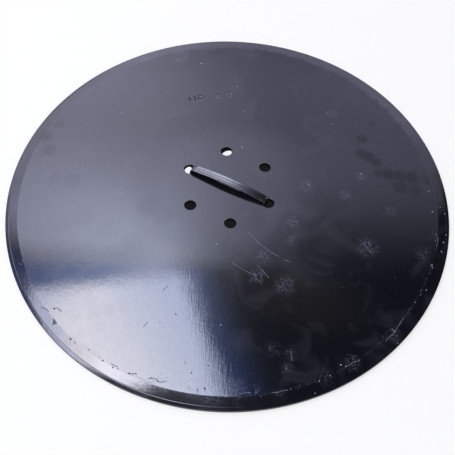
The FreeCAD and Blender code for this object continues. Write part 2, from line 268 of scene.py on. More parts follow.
@dataclass(frozen=True)
class BlackEnamel:
    """Stoved black enamel on sheet steel, dipped: glossy, with a fine orange peel and slow ripples."""

    pigment: str = "#141419"
    dust: str = "#87858a"
    scuffed: str = "#a9abb8"
    enamel_index: float = 1.6
    coat_index: float = 1.5
    gloss_roughness: float = 0.06
    coat_roughness: float = 0.04
    rim_roughness: float = 0.18
    # Orange peel: dimples 2.6 mm apart, as a thick stoved coat has, which break up the mirrored light.
    peel_size: float = 2.6 * MM
    peel_depth: float = 0.012 * MM
    # Ripples of the dipping, a finger's width apart, which bend the mirrored edges.
    ripple_size: float = 17 * MM
    ripple_depth: float = 0.03 * MM
    # Runs of the draining coat: lines 1.1 mm wide and eleven times as long, all in one direction.
    streak_size: float = 1.1 * MM
    streak_depth: float = 0.013 * MM
    streak_draw: float = 0.09
    streak_turn: float = math.radians(26.3)
    # Grit in the coat. The real grains are under 0.1 mm, too fine to show, so 3 mm clusters stand for them.
    grit_size: float = 3 * MM
    # The film of dust lies in patches 33 mm across. Between these values of its noise it gets to its full
    # share of the colour, and the base is rougher by these amounts.
    film_size: float = MM / 0.03
    film_band: Spot = (0.52, 0.75)
    film_share: float = 0.075
    rough_band: Spot = (0.35, 0.75)
    rough_change: Spot = (-0.02, 0.06)
    # A scuff is a haze of 2.4 mm tufts with bright knots. The real scratches in it are about 0.1 mm wide, so
    # the tufts are as coarse as they need to be to show.
    haze_size: float = MM / 0.42
    haze_band: Spot = (0.42, 0.72)
    haze_share: float = 0.16
    knot_band: Spot = (0.62, 0.72)
    knot_share: float = 0.34
    # How much of the shine the grit, the runs and the film take from the full gloss.
    full_shine: float = 1.38
    grit_loss: float = 0.32
    streak_loss: float = 0.2
    film_loss: float = 0.3
    bare_shine: float = 0.1
    # The bevel starts at this radius. Its inner edge is rubbed, and its far side holds caked dust, whose
    # torn edge has lobes 11 mm wide.
    edge_radius: float = 194 * MM
    edge_wear: float = 1.6 * MM
    edge_share: float = 0.5
    dust_start: float = 4.5 * MM
    dust_full: float = 11 * MM
    dust_share: float = 0.2
    dust_side: float = math.radians(101)
    dust_arc: Spot = (0.3, 0.9)
    lobe_size: float = MM / 0.09
    lobe_reach: float = 16 * MM
    # The rim facet is ground after painting, so it has less gloss.
    rim_start: float = 7.5 * MM
    rim_full: float = 8.1 * MM
    rim_share: float = 0.35
    # The marks stand on the skirt at about this height, and fade from this share of their reach.
    mark_height: float = 9 * MM
    mark_core: float = 0.4

    def marks(self, add: Adder, spot: Socket, marks: Sequence[Mark]) -> Node:
        """Blend a list of worn places into one mask.

        Args:
            add: Adds a node to the material.
            spot: The object coordinates.
            marks: The worn places.

        Returns:
            A mask that is 0 away from every mark.
        """
        total: Any = 0.0
        for mark in marks:
            middle, reach = (mark.x * MM, mark.y * MM, self.mark_height), mark.reach * MM
            away = add(VECTOR, {0: spot, 1: middle}, operation="DISTANCE")
            near = add(RANGE, {"Value": away, "From Min": self.mark_core * reach, "From Max": reach,
                               "To Min": mark.strength, "To Max": 0.0}, **SMOOTH)
            total = add(MATH, {0: near, 1: total}, operation="MAXIMUM")
        return total

    def streaks(self, add: Adder, spot: Socket) -> Node:
        """Draw the long fine runs that the enamel left as it drained.

        Args:
            add: Adds a node to the material.
            spot: The object coordinates.

        Returns:
            Their height, from 0 to 1.
        """
        turned = add("ShaderNodeVectorRotate", {"Vector": spot, "Angle": -self.streak_turn},
                     rotation_type="Z_AXIS")
        drawn = add(VECTOR, {0: turned, 1: (1.0, self.streak_draw, 1.0)}, operation="MULTIPLY")
        return add(NOISE, {"Vector": drawn, "Scale": 1 / self.streak_size, "Detail": 1.0})

    def relief(self, add: Adder, spot: Socket, streaks: Node) -> Node:
        """Stack the ripples, the orange peel and the runs into one bumped normal.

        Args:
            add: Adds a node to the material.
            spot: The object coordinates.
            streaks: The height of the runs.

        Returns:
            The normal to shade with.
        """
        ripple = add(NOISE, {"Vector": spot, "Scale": 1 / self.ripple_size, "Detail": 1.0})
        peel = add(NOISE, {"Vector": spot, "Scale": 1 / self.peel_size, "Detail": 1.5, "Roughness": 0.45})
        below: dict[str, Node] = {}
        for height, depth in ((ripple, self.ripple_depth), (peel, self.peel_depth),
                              (streaks, self.streak_depth)):
            below = {"Normal": add(BUMP, {"Strength": 1.0, "Distance": depth, "Height": height, **below})}
        return below["Normal"]

    def bevel_wear(self, add: Adder, spot: Socket) -> tuple[Node, Node, Node]:
        """Mask the wear that follows the bevel.

        Args:
            add: Adds a node to the material.
            spot: The object coordinates.

        Returns:
            The masks of the rubbed inner edge, of the dust on the far side and of the ground rim.
        """
        flat = add(VECTOR, {0: spot, 1: (1.0, 1.0, 0.0)}, operation="MULTIPLY")
        radius = add(VECTOR, {0: flat}, operation="LENGTH")
        beside = add(MATH, {0: radius, 1: self.edge_radius}, operation="SUBTRACT")
        away = add(MATH, {0: beside}, operation="ABSOLUTE")
        rubbed = add(RANGE, {"Value": away, "From Max": self.edge_wear, "To Min": self.edge_share,
                             "To Max": 0.0}, **SMOOTH)
        lobes = add(NOISE, {"Vector": spot, "Scale": 1 / self.lobe_size, "Detail": 5.0, "Roughness": 0.7})
        ragged = add(MATH, {0: lobes, 1: self.lobe_reach, 2: beside}, operation="MULTIPLY_ADD")
        on_bevel = add(RANGE, {"Value": ragged, "From Min": self.dust_start,
                               "From Max": self.dust_full}, **SMOOTH)
        heading = add(VECTOR, {0: flat}, operation="NORMALIZE")
        facing = add(VECTOR, {0: heading, 1: (math.cos(self.dust_side), math.sin(self.dust_side), 0.0)},
                     operation="DOT_PRODUCT")
        far_side = add(RANGE, {"Value": facing, "From Min": self.dust_arc[0], "From Max": self.dust_arc[1],
                               "To Max": self.dust_share}, **SMOOTH)
        dusty = add(MATH, {0: on_bevel, 1: far_side}, operation="MULTIPLY")
        rim = add(RANGE, {"Value": beside, "From Min": self.rim_start, "From Max": self.rim_full,
                          "To Max": self.rim_share})
        return rubbed, dusty, rim

    def scuffs(self, add: Adder, spot: Socket, rubbed: Node) -> Node:
        """Draw the pale haze of the scuffed places and the rubbed edge, with a few bright knots in it.

        Args:
            add: Adds a node to the material.
            spot: The object coordinates.
            rubbed: The mask of the bevel's rubbed edge.

        Returns:
            How much of the paint shows its scuffed colour.
        """
        worn = add(MATH, {0: self.marks(add, spot, SCUFFS), 1: rubbed}, operation="MAXIMUM")
        tufts = add(NOISE, {"Vector": spot, "Scale": 1 / self.haze_size, "Detail": 4.0, "Roughness": 0.65,
                            "Distortion": 0.8})
        haze, knots = (
            add(RANGE, {"Value": tufts, "From Min": band[0], "From Max": band[1], "To Max": share})
            for band, share in ((self.haze_band, self.haze_share), (self.knot_band, self.knot_share)))
        both = add(MATH, {0: haze, 1: knots}, operation="ADD")
        return add(MATH, {0: worn, 1: both}, operation="MULTIPLY")

    def material(self) -> Material:
        """Build the enamel: a dark base under a clear gloss that dust, grease and grinding take down.

        Returns:
            The material.
        """
        material, add = new_material("stoved_black_enamel")
        spot = add("ShaderNodeTexCoord").outputs["Object"]
        cloud = add(NOISE, {"Vector": spot, "Scale": 1 / self.film_size, "Detail": 5.0, "Distortion": 0.8})
        film = add(RANGE, {"Value": cloud, "From Min": self.film_band[0], "From Max": self.film_band[1],
                           "To Max": self.film_share})
        rubbed, settled, rim = self.bevel_wear(add, spot)
        powder = add(MATH, {0: film, 1: settled}, operation="ADD")
        dusty = add(MIX, {"Factor": powder, "A": hex_colour(self.pigment), "B": hex_colour(self.dust)},
                    data_type="RGBA")
        worn = add(MIX, {"Factor": self.scuffs(add, spot, rubbed), "A": dusty,
                         "B": hex_colour(self.scuffed)}, data_type="RGBA")
        streaks = self.streaks(add, spot)
        grit = add(NOISE, {"Vector": spot, "Scale": 1 / self.grit_size, "Detail": 3.0})
        shine: Any = self.full_shine
        for pattern, loss in ((grit, self.grit_loss), (streaks, self.streak_loss), (cloud, self.film_loss)):
            shine = add(MATH, {0: pattern, 1: -loss, 2: shine}, operation="MULTIPLY_ADD")
        bare = add(MATH, {0: self.marks(add, spot, SMUDGES), 1: rim}, operation="MAXIMUM")
        left = add(RANGE, {"Value": bare, "To Min": 1.0, "To Max": self.bare_shine})
        gloss = add(MATH, {0: shine, 1: left}, operation="MULTIPLY", use_clamp=True)
        rough = add(RANGE, {"Value": cloud, "From Min": self.rough_band[0], "From Max": self.rough_band[1],
                            "To Min": self.gloss_roughness + self.rough_change[0],
                            "To Max": self.gloss_roughness + self.rough_change[1]})
        dulled = add(MATH, {0: rim, 1: self.rim_roughness, 2: rough}, operation="MULTIPLY_ADD")
        normal = self.relief(add, spot, streaks)
        shader = add("ShaderNodeBsdfPrincipled", {
            "Base Color": worn, "Roughness": dulled, "IOR": self.enamel_index, "Coat Weight": gloss,
            "Coat IOR": self.coat_index, "Coat Roughness": self.coat_roughness, "Normal": normal,
            "Coat Normal": normal})
        add("ShaderNodeOutputMaterial", {"Surface": shader})
        return material


@dataclass(frozen=True)
class BlackNylon:
    """Moulded black nylon with a waxy slip film: satin, with faint flow lines along the strap."""

    colour: str = "#121215"
    index: float = 1.53
    roughness: float = 0.27
    drawn: float = 0.85
    film_index: float = 1.6
    film_roughness: float = 0.17
    # Flow lines 0.5 mm apart, which the melt leaves as it fills the long mould, drawn out along the strap.
    flow_size: float = 0.5 * MM
    flow_draw: Triple = (0.06, 1.0, 0.3)
    flow_depth: float = 0.02 * MM
    flow_band: Spot = (0.3, 0.7)
    rough_change: Spot = (-0.06, 0.08)

    def material(self) -> Material:
        """Build the nylon, whose shine is drawn out across the flow lines.

        Returns:
            The material.
        """
        material, add = new_material("moulded_black_nylon")
        spot = add("ShaderNodeTexCoord").outputs["Object"]
        along = add("ShaderNodeMapping", {"Vector": spot, "Scale": self.flow_draw})
        flow = add(NOISE, {"Vector": along, "Scale": 1 / self.flow_size, "Detail": 2.0})
        rough = add(RANGE, {"Value": flow, "From Min": self.flow_band[0], "From Max": self.flow_band[1],
                            "To Min": self.roughness + self.rough_change[0],
                            "To Max": self.roughness + self.rough_change[1]})
        bump = add(BUMP, {"Strength": 1.0, "Distance": self.flow_depth, "Height": flow})
        across = add("ShaderNodeCombineXYZ", {"Y": 1.0})
        shader = add("ShaderNodeBsdfPrincipled", {
            "Base Color": hex_colour(self.colour), "Roughness": rough, "IOR": self.index,
            "Anisotropic": self.drawn, "Tangent": across, "Normal": bump, "Coat Weight": 1.0,
            "Coat IOR": self.film_index, "Coat Roughness": self.film_roughness, "Coat Normal": bump})
        add("ShaderNodeOutputMaterial", {"Surface": shader})
        return material


@dataclass(frozen=True)
class LooseSpeck:
    """Dry dust, chipped primer or caked dirt: dull, with an uneven colour."""

    name: str
    colour: str
    second: str
    roughness: float = 0.7
    index: float = 1.5
    # Colour changes every 1.1 mm, so that crumbs beside each other differ.
    grain_size: float = MM / 0.9

    def material(self) -> Material:
        """Build the speck's finish.

        Returns:
            The material.
        """
        material, add = new_material(self.name)
        spot = add("ShaderNodeTexCoord").outputs["Object"]
        grain = add(NOISE, {"Vector": spot, "Scale": 1 / self.grain_size, "Detail": 2.0})
        mixed = add(MIX, {"Factor": grain, "A": hex_colour(self.colour), "B": hex_colour(self.second)},
                    data_type="RGBA")
        shader = add("ShaderNodeBsdfPrincipled", {"Base Color": mixed, "Roughness": self.roughness,
                                                  "IOR": self.index})
        add("ShaderNodeOutputMaterial", {"Surface": shader})
        return material


# House dust, settled from the air: matt grey points that lift the black a little.
GREY_DUST = LooseSpeck("grey_dust", "#8f9199", "#c4c6ce")
# Crumbs of chalk and lint: the few white points that catch the eye.
PALE_CRUMB = LooseSpeck("pale_crumb", "#b9bbc2", "#e2e3e8")
# Dried workshop dirt: dark crumbs that only show against the mirrored window.
CAKED_DIRT = LooseSpeck("caked_dirt", "#3a3b44", "#55565f")
# Lacquer chipped at the bevel: pale broken edges.
CHIPPED_LACQUER = LooseSpeck("chipped_lacquer", "#8f919b", "#c0c2cc")
# Scratched enamel: the torn coat scatters light, so the lines are grey with a weak gloss.
HAIRLINE_ENAMEL = LooseSpeck("hairline_enamel", "#54565f", "#8c8e98", 0.45)
SCORED_ENAMEL = LooseSpeck("scored_enamel", "#5d5f69", "#92949e", 0.45)
# A darker, matt score, used for the scratches that lie on the mirrored window, so it breaks the mirrored
# light.
DARK_SCORE = LooseSpeck("dark_score", "#34353f", "#4b4c56", 0.6)
# Painted shadow and painted highlight of a struck figure: the floor of its groove sees no light, so it is
# drawn dark, and the light on its pressed lip is drawn bright beside it.
STAMPED_SHADE = LooseSpeck("stamped_shade", "#15151a", "#1d1d23", 0.8, 1.15)
PAINTED_STAMP_HIGHLIGHT = LooseSpeck("painted_stamp_highlight", "#7c7e8a", "#a4a6b2", 0.4)
# Iron oxide primer, bare where the enamel has chipped: flat dark grey.
DARK_PRIMER = LooseSpeck("dark_primer", "#4c4e5a", "#62646f", 0.6)


@dataclass
class Blade:
    """The dished, bevelled steel blade with its six bolt holes."""

    radius: float = 205 * MM
    thickness: float = 4 * MM
    dish: float = 8 * MM
    seat_radius: float = 54 * MM
    blend_radius: float = 700 * MM
    bevel_width: float = 11 * MM
    facet_width: float = 3.2 * MM
    facet_rise: float = 0.45 * MM
    land: float = 3.4 * MM
    pitch_radius: float = 41 * MM
    hole_radius: float = 5.25 * MM
    hole_break: float = 0.4 * MM
    hole_count: int = 6
    groove_half: float = 0.4 * MM
    groove_depth: float = 0.05 * MM
    edge_round: float = 0.35 * MM
    # A ring just inside the seat's edge keeps the seat's shading flat.
    seat_inset: float = 0.6 * MM
    segments: int = 720
    hole_segments: int = 96
    # Rings on the blend and the skirt, above and below, and round each edge of the rim.
    blend_rings: int = 14
    skirt_rings: int = 9
    low_blend_rings: int = 12
    low_skirt_rings: int = 8
    edge_rings: int = 5

    @property
    def top(self) -> float:
        """Height of the seat."""
        return self.dish + self.thickness

    @property
    def bevel_in(self) -> float:
        """Inner radius of the bevel."""
        return self.radius - self.bevel_width

    @property
    def facet_in(self) -> float:
        """Inner radius of the rim facet."""
        return self.radius - self.facet_width

    @property
    def slope(self) -> float:
        """Angle of the skirt below the seat."""
        across, up = self.radius - self.seat_radius, self.blend_radius - self.dish
        return math.atan2(across, up) - math.acos(self.blend_radius / math.hypot(across, up))

    def bend_end(self, bend: float) -> float:
        """Radius at which a blend of the given bend meets the skirt."""
        return self.seat_radius + bend * math.sin(self.slope)

    def height(self, radius: float) -> float:
        """Find the height of the upper face.

        Args:
            radius: A distance from the axis.

        Returns:
            The height there.
        """
        bend = self.blend_radius + self.thickness
        if radius <= self.seat_radius:
            return self.top
        if radius <= self.bend_end(bend):
            return self.top - bend + math.sqrt(bend ** 2 - (radius - self.seat_radius) ** 2)
        if radius <= self.bevel_in:
            fall = (radius - self.bend_end(bend)) * math.tan(self.slope)
            return self.top - bend * (1 - math.cos(self.slope)) - fall
        if radius <= self.facet_in:
            share = (radius - self.bevel_in) / (self.facet_in - self.bevel_in)
            return self.height(self.bevel_in) * (1 - share) + (self.land + self.facet_rise) * share
        return self.land + self.facet_rise * (self.radius - radius) / self.facet_width

    def underside(self, radius: float) -> float:
        """Find the height of the lower face.

        Args:
            radius: A distance from the axis.

        Returns:
            The height there.
        """
        bend = self.blend_radius
        if radius <= self.seat_radius:
            return self.dish
        if radius <= self.bend_end(bend):
            return self.dish - bend + math.sqrt(bend ** 2 - (radius - self.seat_radius) ** 2)
        return (self.radius - radius) * math.tan(self.slope)

    def profile(self) -> list[Ring]:
        """Lay out the rings from the seat out over the bevel, round the rim and back under to the seat.

        Returns:
            For each ring its radius, its height and whether its edge is crisp.
        """
        bend_end = self.bend_end(self.blend_radius + self.thickness)
        inner = self.seat_radius - self.seat_inset
        radii = [inner]
        radii += [self.seat_radius + (bend_end - self.seat_radius) * step / self.blend_rings
                  for step in range(self.blend_rings + 1)]
        radii += [bend_end + (self.bevel_in - bend_end) * step / self.skirt_rings
                  for step in range(1, self.skirt_rings)]
        rings: list[Ring] = [(radius, self.height(radius), False) for radius in radii]
        middle, groove_in = (self.bevel_in + self.facet_in) / 2, self.facet_in - self.groove_half
        groove_out = self.facet_in + self.groove_half
        for radius, cut, crisp in ((self.bevel_in, 0.0, True), (middle, 0.0, False), (groove_in, 0.0, True),
                                   (self.facet_in, self.groove_depth, True), (groove_out, 0.0, True)):
            rings.append((radius, self.height(radius) - cut, crisp))
        turn, curve = self.radius - self.edge_round, self.edge_round
        for step in range(self.edge_rings + 1):
            angle = QUARTER * (1 - step / self.edge_rings)
            fall = curve * (1 - math.sin(angle))
            rings.append((turn + curve * math.cos(angle), self.height(turn) - fall, False))
        for step in range(self.edge_rings + 1):
            angle = QUARTER * step / self.edge_rings
            rings.append((turn + curve * math.cos(angle), curve * (1 - math.sin(angle)), False))
        low_end = self.bend_end(self.blend_radius)
        under = [turn - (turn - low_end) * step / self.low_skirt_rings
                 for step in range(1, self.low_skirt_rings)]
        under += [low_end - (low_end - self.seat_radius) * step / self.low_blend_rings
                  for step in range(self.low_blend_rings + 1)]
        return rings + [(radius, self.underside(radius), False) for radius in [*under, inner]]

    def hole_rings(self) -> list[Ring]:
        """Rings down one bolt hole, with its two broken edges."""
        narrow, cut = self.hole_radius, self.hole_break
        return [(narrow + cut, self.top, True), (narrow, self.top - cut, True),
                (narrow, self.dish + cut, True), (narrow + cut, self.dish, True)]

    def build(self) -> Piece:
        """Make the blade's mesh: turned rings, six hole walls, and flat faces between them on the seat.

        Returns:
            The blade, with its crisp edges marked sharp.
        """
        points: list[Triple] = []
        faces: list[tuple[int, ...]] = []
        crisp: set[frozenset[int]] = set()

        def add_rings(rings: Sequence[Ring], centre: Spot, count: int) -> tuple[list[int], list[int]]:
            """Add a wall of rings.

            Args:
                rings: The rings, each with its radius, its height and whether its edge is crisp.
                centre: The middle of them all.
                count: How many points each ring has.

            Returns:
                The vertex numbers of the first ring and of the last.
            """
            rows = []
            for radius, height, sharp in rings:
                row = list(range(len(points), len(points) + count))
                points.extend((centre[0] + radius * x, centre[1] + radius * y, height)
                              for x, y in around(count))
                if sharp:
                    crisp.update(frozenset(pair) for pair in zip(row, row[1:] + row[:1]))
                rows.append(row)
            for upper, lower in zip(rows, rows[1:]):
                faces.extend(zip(upper, upper[1:] + upper[:1], lower[1:] + lower[:1], lower))
            return rows[0], rows[-1]

        walls = [add_rings(self.profile(), (0.0, 0.0), self.segments)]
        for x, y in around(self.hole_count):
            centre = (self.pitch_radius * x, self.pitch_radius * y)
            walls.append(add_rings(self.hole_rings(), centre, self.hole_segments))
        for loops in zip(*walls):
            order = [number for loop in loops for number in loop]
            outlines = [[Vector(points[number]) for number in loop] for loop in loops]
            faces.extend(tuple(order[corner] for corner in corners)
                         for corners in tessellate_polygon(outlines))
        piece = new_piece("blade", points, faces)
        work = bmesh.new()
        work.from_mesh(piece.data)
        bmesh.ops.recalc_face_normals(work, faces=work.faces)
        for face in work.faces:
            face.smooth = True
        for edge in work.edges:
            edge.smooth = frozenset(vertex.index for vertex in edge.verts) not in crisp
        work.to_mesh(piece.data)
        work.free()
        return piece

    def on_top(self, x: float, y: float, lift: float = 0.0) -> Vector:
        """A point above the upper face, from a place and a lift in millimetres."""
        return Vector((x * MM, y * MM, self.height(math.hypot(x, y) * MM) + lift * MM))

    def dress(self) -> None:
        """Build the blade and stand it in for the frame's disc."""
        piece = place(self.build(), Slot.PAINT, BlackEnamel().material())
        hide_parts("disc")


@dataclass
class CableTie:
    """The flat nylon tie: a strap loop with edge rails and teeth inside, and its lock head below."""

    width: float = 7.2 * MM
    thickness: float = 1.7 * MM
    # The loop: its legs, its run under the plate, the shoulders over the seat and the shallow arch.
    leg_x: float = 38.4525 * MM
    run_z: float = 6.95 * MM
    seat_z: float = 12 * MM
    corner: float = 1.55 * MM
    near: float = 4.5 * MM
    far: float = 3.45 * MM
    crown: float = 200 * MM
    rise: float = math.radians(5)
    station_step: float = 0.9 * MM
    # The section: rails beside a hollow with a slope between, deeper inside, where the teeth are.
    rail: float = 1.5 * MM
    rail_slope: float = 0.4 * MM
    outer_hollow: float = 0.14 * MM
    inner_hollow: float = 0.45 * MM
    edge_round: float = 0.3 * MM
    camber: float = 0.05 * MM
    curve_steps: int = 4
    crease: float = math.radians(35)
    # The strap leans over between its shoulders, and comes upright within a fifth of the arch's share.
    lean: float = math.radians(8.5)
    lean_rate: float = 5.0
    tooth_pitch: float = 1.25 * MM
    tooth_length: float = 0.6 * MM
    tooth_height: float = 0.5 * MM
    tooth_play: float = 0.3 * MM
    tooth_step: float = 0.4 * MM
    head_length: float = 10.4 * MM
    head_width: float = 11.4 * MM
    head_top: float = 7.8 * MM
    head_height: float = 5.8 * MM
    head_slope: float = 1.5 * MM
    head_round: float = 0.35 * MM
    head_crease: float = 1.0
    tail_stub: float = 0.9 * MM
    tail_length: float = 2 * MM

    def path(self, step: float) -> list[tuple[Vector, Vector]]:
        """Lay out the strap's closed middle line.

        Args:
            step: The spacing of the points on the long parts.

        Returns:
            Points and outward normals, in order round the loop.
        """
        down = Vector((math.sin(self.rise), 0, -math.cos(self.rise)))
        along = Vector((math.cos(self.rise), 0, math.sin(self.rise)))
        near_hub = Vector((self.near - self.leg_x, 0, self.seat_z))
        far_hub = Vector((self.leg_x - self.far, 0, self.seat_z))
        near_end = near_hub - down * self.near
        base = near_end + down * self.crown - far_hub
        middle = base.dot(along)
        length = -middle - math.sqrt(middle ** 2 - base.length_squared + (self.crown - self.far) ** 2)
        crown_hub = near_end + along * length + down * self.crown
        apart = far_hub - crown_hub
        fall = math.atan2(apart.x, apart.z)
        low = self.run_z + self.corner
        inset = self.leg_x - self.corner
        stations: list[tuple[Vector, Vector]] = []

        def straight(start: Vector, end: Vector, normal: Vector) -> None:
            """Add a straight run, without its last point.

            Args:
                start: Its first point.
                end: Its last point.
                normal: The outward normal all along it.
            """
            count = max(1, round((end - start).length / step))
            stations.extend((start.lerp(end, number / count), normal) for number in range(count))

        def curve(hub: Vector, radius: float, first: float, last: float, least: int) -> None:
            """Add an arc, without its last point.

            Args:
                hub: Its centre.
                radius: Its radius.
                first: Its first angle from straight up, positive towards +X.
                last: Its last angle.
                least: The fewest steps it is drawn in.
            """
            count = max(least, round(abs(last - first) * radius / step))
            for number in range(count):
                angle = first + (last - first) * number / count
                normal = Vector((math.sin(angle), 0, math.cos(angle)))
                stations.append((hub + normal * radius, normal))

        straight(Vector((-self.leg_x, 0, low)), Vector((-self.leg_x, 0, self.seat_z)), Vector((-1, 0, 0)))
        curve(near_hub, self.near, -QUARTER, -self.rise, 14)
        straight(near_end, near_end + along * length, -down)
        curve(crown_hub, self.crown, -self.rise, fall, 40)
        curve(far_hub, self.far, fall, QUARTER, 12)
        straight(Vector((self.leg_x, 0, self.seat_z)), Vector((self.leg_x, 0, low)), Vector((1, 0, 0)))
        curve(Vector((inset, 0, low)), self.corner, QUARTER, 2 * QUARTER, 8)
        straight(Vector((inset, 0, self.run_z)), Vector((-inset, 0, self.run_z)), Vector((0, 0, -1)))
        curve(Vector((-inset, 0, low)), self.corner, 2 * QUARTER, 3 * QUARTER, 8)
        return stations

    def section(self) -> list[Spot]:
        """Draw the strap's cross-section.

        Returns:
            Its corners, each as the way across the strap and the way out from its middle line.
        """
        half, curve, steps = self.thickness / 2, self.edge_round, self.curve_steps
        turn = self.width / 2 - curve
        inset = self.width / 2 - self.rail
        flat = inset - self.rail_slope
        right = [(flat * step / steps, half - self.outer_hollow + self.camber * (1 - (step / steps) ** 2))
                 for step in range(steps + 1)]
        right.append((inset, half))
        angles = [QUARTER * step / steps for step in range(steps + 1)]
        right += [(turn + curve * math.cos(angle), half - curve + curve * math.sin(angle))
                  for angle in reversed(angles)]
        right += [(turn + curve * math.cos(angle), curve - half - curve * math.sin(angle))
                  for angle in angles]
        right += [(inset, -half), (flat, self.inner_hollow - half)]
        return right + [(-across, out) for across, out in reversed(right[1:])]

    def strap(self) -> Piece:
        """Sweep the section round the loop.

        Returns:
            The closed strap.
        """
        stations = self.path(self.station_step)
        section = self.section()
        points = []
        for spot, normal in stations:
            share = max(0.0, normal.z) * math.cos(QUARTER * min(1.0, abs(spot.x) / self.leg_x))
            angle = self.lean * min(1.0, self.lean_rate * share)
            wide = Vector((0, math.cos(angle), 0)) + normal * math.sin(angle)
            thick = normal * math.cos(angle) - Vector((0, math.sin(angle), 0))
            points += [spot + thick * out + wide * across for across, out in section]
        count = len(section)
        faces = []
        for row in range(len(stations)):
            here, after = row * count, (row + 1) % len(stations) * count
            for column in range(count):
                beside = (column + 1) % count
                faces.append((here + column, here + beside, after + beside, after + column))
        piece = new_piece("tie_strap", points, faces)
        face_outwards(piece)
        piece.data.set_sharp_from_angle(angle=self.crease)
        return piece

    def teeth(self, nylon: Material) -> Piece:
        """Repeat the ratchet's teeth along the hollow on the strap's inner face.

        Args:
            nylon: The teeth's material.

        Returns:
            The row of teeth as a plain mesh.
        """
        depth = self.thickness / 2 - self.inner_hollow
        inner = [spot - normal * depth for spot, normal in self.path(self.tooth_step)]
        line = new_piece("tie_teeth", inner, [], [(number, number + 1) for number in range(len(inner) - 1)])
        tooth_width = self.width - 2 * self.rail - self.tooth_play
        growth = Growth("tooth_row", Pitch=self.tooth_pitch, Material=nylon,
                        Tooth=(self.tooth_length, tooth_width, self.tooth_height))
        add, given = growth.add, growth.given
        curve = add("GeometryNodeMeshToCurve", {"Mesh": given["Geometry"]})
        spaced = add("GeometryNodeCurveToPoints", {"Curve": curve, "Length": given["Pitch"]}, mode="LENGTH")
        along = add("FunctionNodeAlignRotationToVector", {"Vector": spaced.outputs["Tangent"]}, axis="X",
                    pivot_axis="Y")
        tooth = add("GeometryNodeMeshCube", {"Size": given["Tooth"]})
        growth.run(line, add("GeometryNodeInstanceOnPoints", {"Points": spaced, "Instance": tooth,
                                                              "Rotation": along}))
        return line

    def head(self) -> Piece:
        """Make the lock head under the plate, with its sloping lower edges, and the cut tail below it.

        Returns:
            The head and the tail as one piece.
        """
        def block(low: float, *size: float) -> None:
            """Add a block on the axis, from its lowest height, and its length, width and height."""
            shape = Matrix.Translation((0, 0, low + size[2] / 2)) @ Matrix.Diagonal((*size, 1))
            bmesh.ops.create_cube(work, size=1.0, matrix=shape)

        work = bmesh.new()
        bottom = self.head_top - self.head_height
        block(bottom, self.head_length, self.head_width, self.head_height)
        middle = bottom + self.head_height / 2
        low = [edge for edge in work.edges if all(vertex.co.z < middle for vertex in edge.verts)]
        bmesh.ops.bevel(work, geom=low, offset=self.head_slope, segments=4, profile=0.6, affect="EDGES")
        rest = [edge for edge in work.edges if edge.calc_face_angle(0.0) > self.head_crease]
        bmesh.ops.bevel(work, geom=rest, offset=self.head_round, segments=2, profile=0.5, affect="EDGES")
        block(bottom - self.tail_stub, self.thickness, self.width, self.tail_length)
        bmesh.ops.recalc_face_normals(work, faces=work.faces)
        piece = new_piece("tie_head", [], [])
        work.to_mesh(piece.data)
        work.free()
        return piece

    def dress(self) -> None:
        """Build the tie and stand it in for the frame's plain one."""
        nylon = BlackNylon().material()
        strap = place(self.strap(), Slot.NYLON, nylon)
        place(self.teeth(nylon), Slot.NYLON)
        place(self.head(), Slot.NYLON, nylon)
        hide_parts("cable_tie")


# The figures that are struck into the plate, as corners in a box of one unit.
FIGURES: dict[str, tuple[Spot, ...]] = {
    "4": ((0.75, 0.0), (0.75, 1.0), (0.0, 0.35), (1.0, 0.35)),
    "1": ((0.25, 0.8), (0.6, 1.0), (0.6, 0.0)),
    ".": ((0.35, 0.0), (0.6, 0.1)),
    "0": ((0.0, 0.2), (0.0, 0.8), (0.3, 1.0), (0.7, 1.0), (1.0, 0.8), (1.0, 0.2), (0.7, 0.0), (0.3, 0.0),
          (0.0, 0.2)),
}


